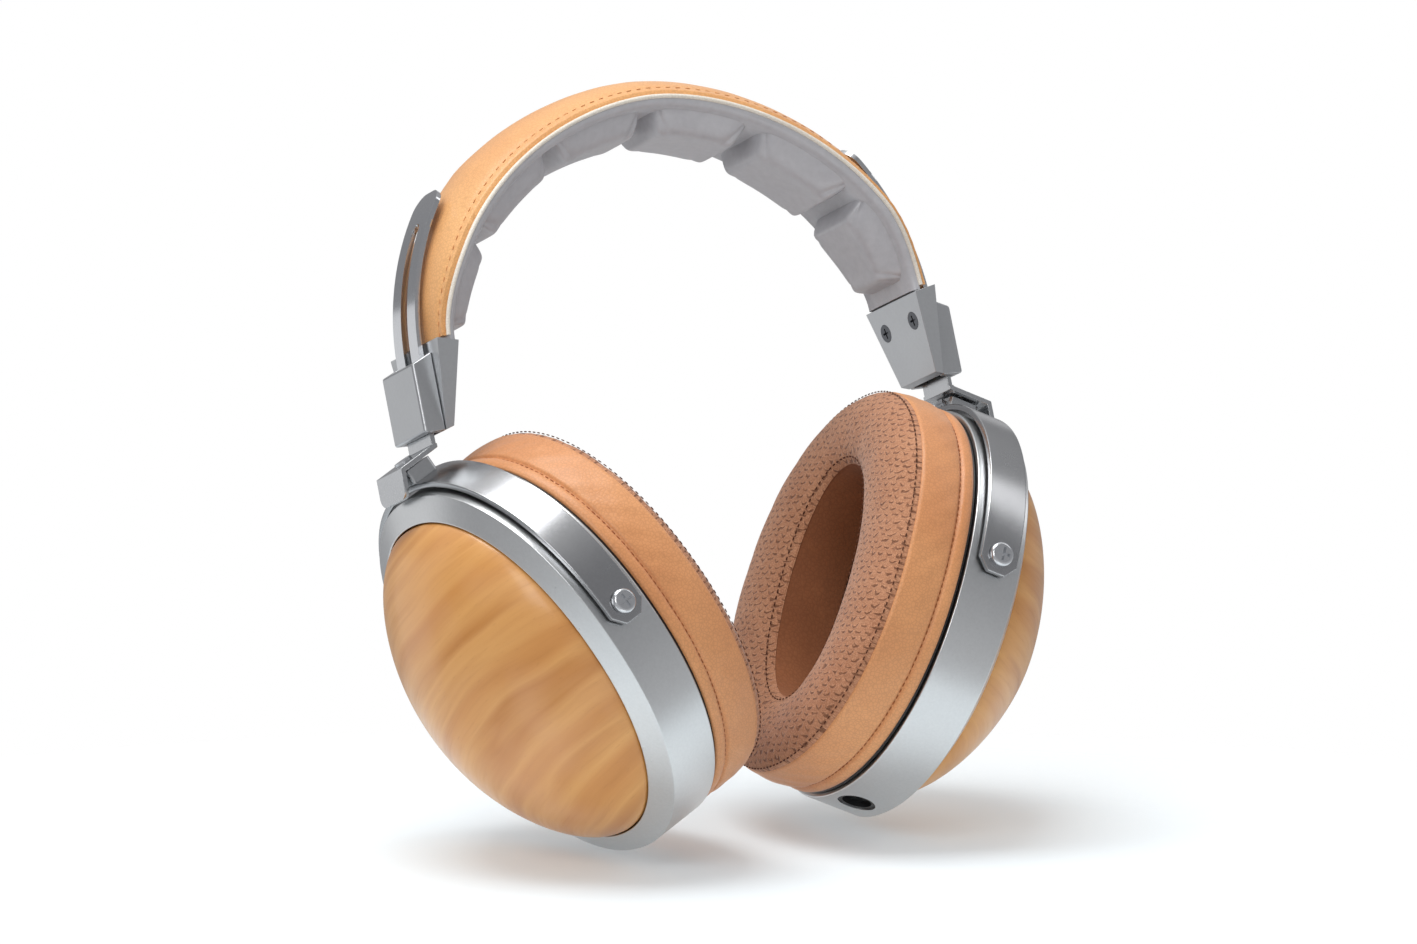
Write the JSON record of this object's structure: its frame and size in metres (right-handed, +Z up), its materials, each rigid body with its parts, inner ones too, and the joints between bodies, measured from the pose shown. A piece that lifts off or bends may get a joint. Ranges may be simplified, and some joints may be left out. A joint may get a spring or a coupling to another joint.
{
  "type": "over ear headphones",
  "caption": "Over ear headphones: padded leather headband, sliding steel blades, swivelling yokes, and wood-domed oval cups with metal rims and soft ear pads.",
  "frame": {"origin": "on the plane that the cup rings rest on, under the middle of the headband", "axes": "+Z up, front towards -Y, wearer's left towards +X"},
  "size_m": [0.1674, 0.0974, 0.1846],
  "materials": {
    "cup_wood": "satin lacquered figured wood",
    "satin_aluminium": "fine satin, bevelled edge",
    "housing_metal": "matte silver",
    "brushed_yoke": "brushed along its length",
    "polished_blade": "polished spring steel",
    "screw_steel": "bright machine screws and pins",
    "spring_steel": "blued spring steel",
    "headband_leather": "fine grain tan",
    "piping": "cream edge cord",
    "comfort_pad": "satin grey silicone",
    "pad_leather": "smooth tan with a stitched groove",
    "pad_fabric": "brown knit with short dark dashes",
    "pad_foam": "open cell foam",
    "dust_cloth": "thin black acoustic cloth",
    "felt": "pressed felt",
    "black_plastic": "matte black",
    "magnet": "plated magnet pot",
    "coil_copper": "enamelled copper wire",
    "diaphragm_film": "thin polymer film"
  },
  "bodies": {
    "headband": {"headband_spring_strip": "spring_steel", "headband_leather_cover": "headband_leather", "headband_edge_piping": "piping", "headband_comfort_pad": "comfort_pad", "left_slider_housing": "housing_metal", "left_slider_cover": "housing_metal", "left_housing_screws": "screw_steel", "left_detent_spring": "spring_steel", "right_slider_housing": "housing_metal", "right_slider_cover": "housing_metal", "right_housing_screws": "screw_steel", "right_detent_spring": "spring_steel"},
    "left_slider": {"left_slider_blade": "polished_blade", "left_hinge_bracket": "brushed_yoke", "left_blade_rivets": "screw_steel", "left_swivel_pin": "screw_steel"},
    "left_yoke": {"left_yoke_arm": "brushed_yoke", "left_swivel_knuckle": "brushed_yoke", "left_knuckle_screw": "screw_steel", "left_yoke_pivot_screws": "screw_steel", "left_pivot_washers": "black_plastic"},
    "left_cup": {"left_cup_ring": "satin_aluminium", "left_wood_cup": "cup_wood", "left_driver_baffle": "black_plastic", "left_baffle_screws": "screw_steel", "left_driver_basket": "black_plastic", "left_driver_magnet": "magnet", "left_voice_coil": "coil_copper", "left_driver_diaphragm": "diaphragm_film", "left_damping_felt": "felt", "left_cable_socket": "black_plastic", "left_ear_pad_mount_ring": "black_plastic", "left_ear_pad_foam": "pad_foam", "left_ear_pad_leather": "pad_leather", "left_ear_pad_fabric": "pad_fabric", "left_dust_cloth": "dust_cloth"},
    "right_slider": {"right_slider_blade": "polished_blade", "right_hinge_bracket": "brushed_yoke", "right_blade_rivets": "screw_steel", "right_swivel_pin": "screw_steel"},
    "right_yoke": {"right_yoke_arm": "brushed_yoke", "right_swivel_knuckle": "brushed_yoke", "right_knuckle_screw": "screw_steel", "right_yoke_pivot_screws": "screw_steel", "right_pivot_washers": "black_plastic"},
    "right_cup": {"right_cup_ring": "satin_aluminium", "right_wood_cup": "cup_wood", "right_driver_baffle": "black_plastic", "right_baffle_screws": "screw_steel", "right_driver_basket": "black_plastic", "right_driver_magnet": "magnet", "right_voice_coil": "coil_copper", "right_driver_diaphragm": "diaphragm_film", "right_damping_felt": "felt", "right_cable_socket": "black_plastic", "right_ear_pad_mount_ring": "black_plastic", "right_ear_pad_foam": "pad_foam", "right_ear_pad_leather": "pad_leather", "right_ear_pad_fabric": "pad_fabric", "right_dust_cloth": "dust_cloth"}
  },
  "joints": [
    {"name": "left_slide", "type": "slide", "parent": "headband", "child": "left_slider", "axis": [0, 0, -1], "range_m": [0, 0.02], "deforming": ["left_slider_blade"]},
    {"name": "left_swivel", "type": "hinge", "parent": "left_slider", "child": "left_yoke", "pos_m": [0.07506, 0, 0.09519], "axis": [0.4524, 0, 0.8918], "range_deg": [-12, 12]},
    {"name": "left_tilt", "type": "hinge", "parent": "left_yoke", "child": "left_cup", "pos_m": [0.05137, 0, 0.05204], "axis": [0, -1, 0], "range_deg": [-3, 20]},
    {"name": "right_slide", "type": "slide", "parent": "headband", "child": "right_slider", "axis": [0, 0, -1], "range_m": [0, 0.02], "deforming": ["right_slider_blade"]},
    {"name": "right_swivel", "type": "hinge", "parent": "right_slider", "child": "right_yoke", "pos_m": [-0.07506, 0, 0.09519], "axis": [-0.4524, 0, 0.8918], "range_deg": [-12, 12]},
    {"name": "right_tilt", "type": "hinge", "parent": "right_yoke", "child": "right_cup", "pos_m": [-0.05137, 0, 0.05204], "axis": [0, 1, 0], "range_deg": [-3, 20]}
  ]
}
